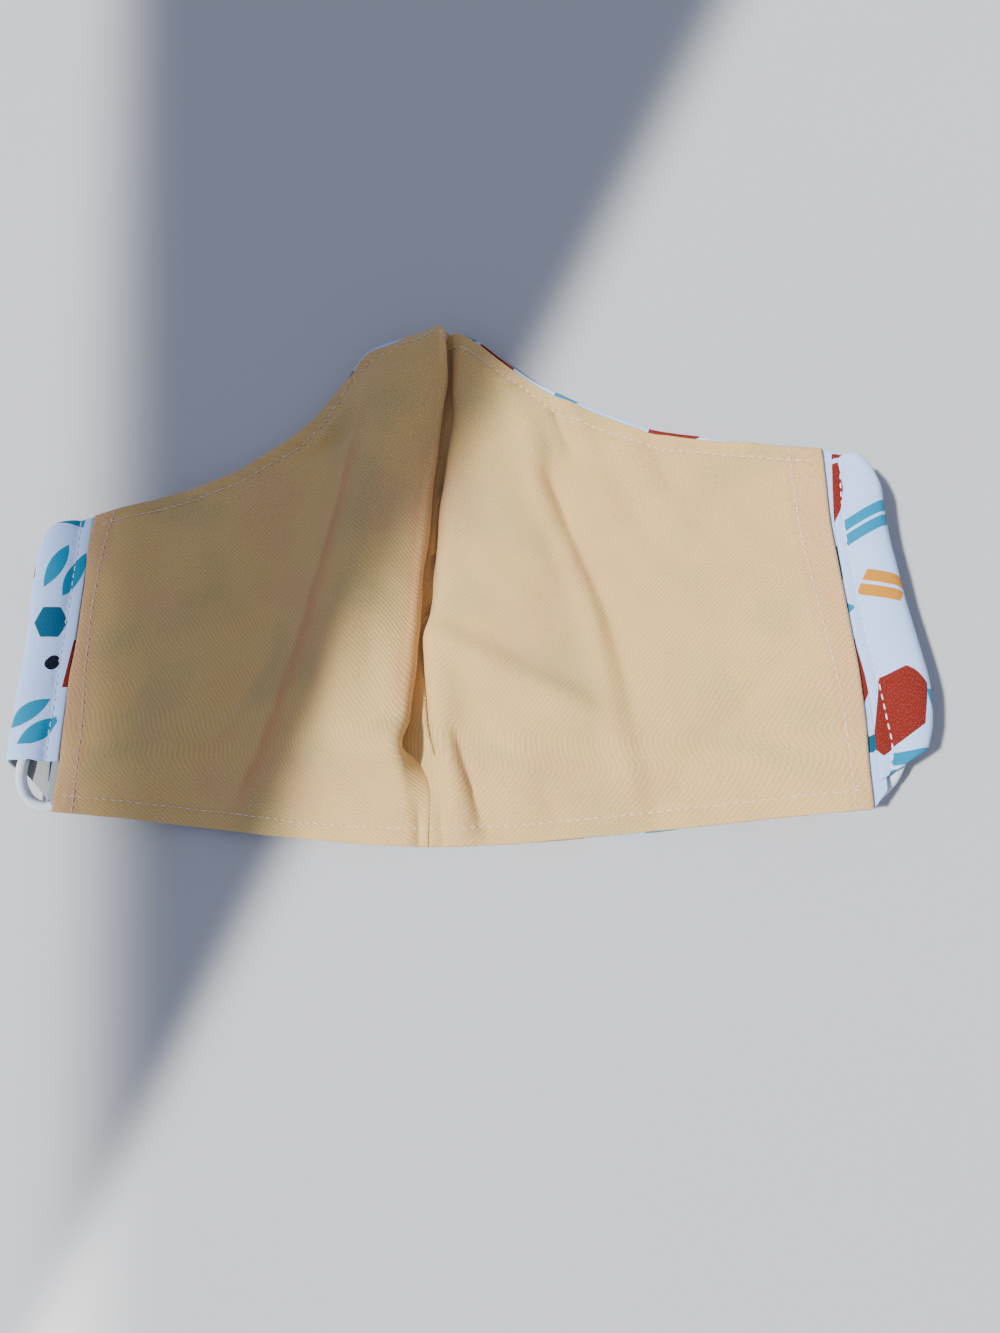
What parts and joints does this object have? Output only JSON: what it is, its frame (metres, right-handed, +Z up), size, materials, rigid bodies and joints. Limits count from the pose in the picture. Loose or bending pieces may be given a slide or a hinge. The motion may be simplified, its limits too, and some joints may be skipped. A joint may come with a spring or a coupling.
{
  "type": "cloth face mask",
  "caption": "Fitted two-layer cotton face mask lying open with its lining up, its centre seam folded over, with elastic ear loops in side casings.",
  "frame": {"origin": "centre of the cloth pieces' footprint, on the surface that the mask rests on", "axes": "+X across the mask towards its right casing, +Y towards the nose edge, +Z up, out of the lining"},
  "size_m": [0.247, 0.1494, 0.0158],
  "materials": {
    "lining_cotton": "matte cream and peach cotton twill",
    "printed_cotton": "matte white cotton with a print in teal, rust, mustard and navy",
    "elastic": "white round elastic with a knitted cover"
  },
  "bodies": {
    "root": {"lining_left": "lining_cotton", "lining_right": "lining_cotton", "outer_left": "printed_cotton", "outer_right": "printed_cotton", "casing_left": "printed_cotton", "casing_right": "printed_cotton", "ear_loop_left": "elastic", "ear_loop_right": "elastic"}
  },
  "joints": []
}
